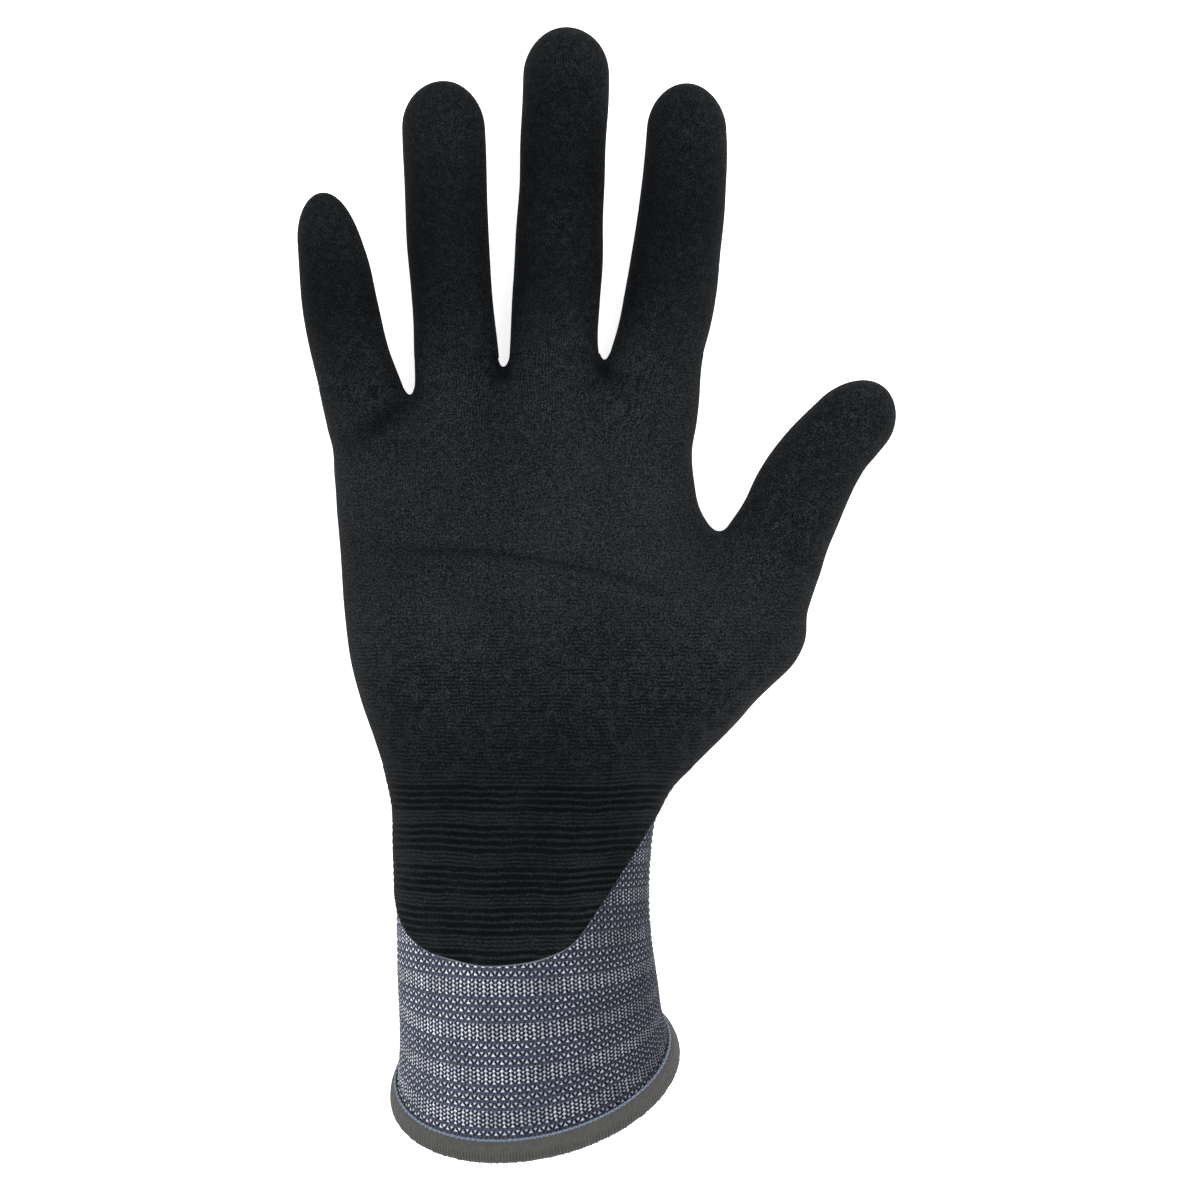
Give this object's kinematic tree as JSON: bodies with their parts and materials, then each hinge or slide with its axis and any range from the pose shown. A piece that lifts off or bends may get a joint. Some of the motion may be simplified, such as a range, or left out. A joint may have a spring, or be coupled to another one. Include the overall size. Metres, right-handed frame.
{
  "type": "dipped knit work glove",
  "caption": "Seamless knit work glove with a matte dipped palm and fingertips, a ribbed knit cuff and an overlocked hem.",
  "frame": {"origin": "centre of the glove's box in X and Y, at its lowest point in Z", "axes": "the glove lies on its back, palm up: +X to the thumb side, +Y to the fingertips, +Z out of the palm"},
  "size_m": [0.1397, 0.2624, 0.0494],
  "materials": {
    "knit": "heather grey knit",
    "cuff_knit": "ribbed heather grey knit",
    "dipped_knit": "matte foam over knit",
    "foam_nitrile": "matte foam",
    "elastic_yarn": "covered elastic",
    "overlock_yarn": "textured yarn",
    "edge_thread": "thread"
  },
  "bodies": {
    "palm": {"palm_liner": "knit", "palm_dip": "foam_nitrile", "wrist_liner": "knit", "wrist_dip": "foam_nitrile"},
    "cuff": {"cuff_liner": "cuff_knit", "cuff_dip": "foam_nitrile", "elastic_yarn": "elastic_yarn", "hem_overlock": "overlock_yarn", "hem_thread": "edge_thread"},
    "little_base": {"little_root_knuckle": "dipped_knit", "little_base_liner": "knit", "little_base_dip": "foam_nitrile"},
    "little_mid": {"little_mid_knuckle": "dipped_knit", "little_mid_liner": "knit", "little_mid_dip": "foam_nitrile"},
    "little_tip": {"little_end_knuckle": "dipped_knit", "little_tip_liner": "knit", "little_tip_dip": "foam_nitrile"},
    "ring_base": {"ring_root_knuckle": "dipped_knit", "ring_base_liner": "knit", "ring_base_dip": "foam_nitrile"},
    "ring_mid": {"ring_mid_knuckle": "dipped_knit", "ring_mid_liner": "knit", "ring_mid_dip": "foam_nitrile"},
    "ring_tip": {"ring_end_knuckle": "dipped_knit", "ring_tip_liner": "knit", "ring_tip_dip": "foam_nitrile"},
    "middle_base": {"middle_root_knuckle": "dipped_knit", "middle_base_liner": "knit", "middle_base_dip": "foam_nitrile"},
    "middle_mid": {"middle_mid_knuckle": "dipped_knit", "middle_mid_liner": "knit", "middle_mid_dip": "foam_nitrile"},
    "middle_tip": {"middle_end_knuckle": "dipped_knit", "middle_tip_liner": "knit", "middle_tip_dip": "foam_nitrile"},
    "index_base": {"index_root_knuckle": "dipped_knit", "index_base_liner": "knit", "index_base_dip": "foam_nitrile"},
    "index_mid": {"index_mid_knuckle": "dipped_knit", "index_mid_liner": "knit", "index_mid_dip": "foam_nitrile"},
    "index_tip": {"index_end_knuckle": "dipped_knit", "index_tip_liner": "knit", "index_tip_dip": "foam_nitrile"},
    "thumb_base": {"thumb_root_knuckle": "dipped_knit", "thumb_base_liner": "knit", "thumb_base_dip": "foam_nitrile"},
    "thumb_tip": {"thumb_end_knuckle": "dipped_knit", "thumb_tip_liner": "knit", "thumb_tip_dip": "foam_nitrile"}
  },
  "joints": [
    {"name": "wrist_bend", "type": "hinge", "parent": "palm", "child": "cuff", "pos_m": [-0.01714, -0.05838, 0.023], "axis": [-1, 0, 0], "range_deg": [-45, 45], "stiffness_Nm_per_rad": 0.15, "deforming": ["wrist_liner", "wrist_dip"]},
    {"name": "little_root_bend", "type": "hinge", "parent": "palm", "child": "little_base", "pos_m": [-0.05565, 0.05048, 0.01606], "axis": [1, 0, 0], "range_deg": [0, 60], "stiffness_Nm_per_rad": 0.03, "deforming": ["little_root_knuckle"]},
    {"name": "little_mid_bend", "type": "hinge", "parent": "little_base", "child": "little_mid", "pos_m": [-0.05835, 0.06371, 0.01663], "axis": [1, 0, 0], "range_deg": [0, 80], "stiffness_Nm_per_rad": 0.03, "deforming": ["little_mid_knuckle"]},
    {"name": "little_end_bend", "type": "hinge", "parent": "little_mid", "child": "little_tip", "pos_m": [-0.0609, 0.07826, 0.01795], "axis": [1, 0, 0], "range_deg": [0, 50], "stiffness_Nm_per_rad": 0.03, "deforming": ["little_end_knuckle"]},
    {"name": "ring_root_bend", "type": "hinge", "parent": "palm", "child": "ring_base", "pos_m": [-0.03359, 0.05927, 0.01557], "axis": [1, 0, 0], "range_deg": [0, 65], "stiffness_Nm_per_rad": 0.03, "deforming": ["ring_root_knuckle"]},
    {"name": "ring_mid_bend", "type": "hinge", "parent": "ring_base", "child": "ring_mid", "pos_m": [-0.0342, 0.07671, 0.01633], "axis": [1, 0, 0], "range_deg": [0, 80], "stiffness_Nm_per_rad": 0.03, "deforming": ["ring_mid_knuckle"]},
    {"name": "ring_end_bend", "type": "hinge", "parent": "ring_mid", "child": "ring_tip", "pos_m": [-0.03494, 0.09799, 0.01837], "axis": [1, 0, 0], "range_deg": [0, 50], "stiffness_Nm_per_rad": 0.03, "deforming": ["ring_end_knuckle"]},
    {"name": "middle_root_bend", "type": "hinge", "parent": "palm", "child": "middle_base", "pos_m": [-0.00977, 0.06081, 0.01557], "axis": [1, 0, 0], "range_deg": [0, 65], "stiffness_Nm_per_rad": 0.03, "deforming": ["middle_root_knuckle"]},
    {"name": "middle_mid_bend", "type": "hinge", "parent": "middle_base", "child": "middle_mid", "pos_m": [-0.00882, 0.08179, 0.01646], "axis": [1, 0, 0], "range_deg": [0, 80], "stiffness_Nm_per_rad": 0.03, "deforming": ["middle_mid_knuckle"]},
    {"name": "middle_end_bend", "type": "hinge", "parent": "middle_mid", "child": "middle_tip", "pos_m": [-0.00768, 0.10702, 0.01885], "axis": [1, 0, 0], "range_deg": [0, 50], "stiffness_Nm_per_rad": 0.03, "deforming": ["middle_end_knuckle"]},
    {"name": "index_root_bend", "type": "hinge", "parent": "palm", "child": "index_base", "pos_m": [0.01536, 0.06035, 0.01558], "axis": [1, 0, 0], "range_deg": [0, 65], "stiffness_Nm_per_rad": 0.03, "deforming": ["index_root_knuckle"]},
    {"name": "index_mid_bend", "type": "hinge", "parent": "index_base", "child": "index_mid", "pos_m": [0.01832, 0.07737, 0.01634], "axis": [1, 0, 0], "range_deg": [0, 80], "stiffness_Nm_per_rad": 0.03, "deforming": ["index_mid_knuckle"]},
    {"name": "index_end_bend", "type": "hinge", "parent": "index_mid", "child": "index_tip", "pos_m": [0.02061, 0.09865, 0.01842], "axis": [1, 0, 0], "range_deg": [0, 50], "stiffness_Nm_per_rad": 0.03, "deforming": ["index_end_knuckle"]},
    {"name": "thumb_root_bend", "type": "hinge", "parent": "palm", "child": "thumb_base", "pos_m": [0.04217, 0.01312, 0.02279], "axis": [0.7344, -0.4589, 0.5], "range_deg": [0, 40], "stiffness_Nm_per_rad": 0.03, "deforming": ["thumb_root_knuckle"]},
    {"name": "thumb_end_bend", "type": "hinge", "parent": "thumb_base", "child": "thumb_tip", "pos_m": [0.05119, 0.02724, 0.02365], "axis": [0.7344, -0.4589, 0.5], "range_deg": [0, 55], "stiffness_Nm_per_rad": 0.03, "deforming": ["thumb_end_knuckle"]}
  ]
}
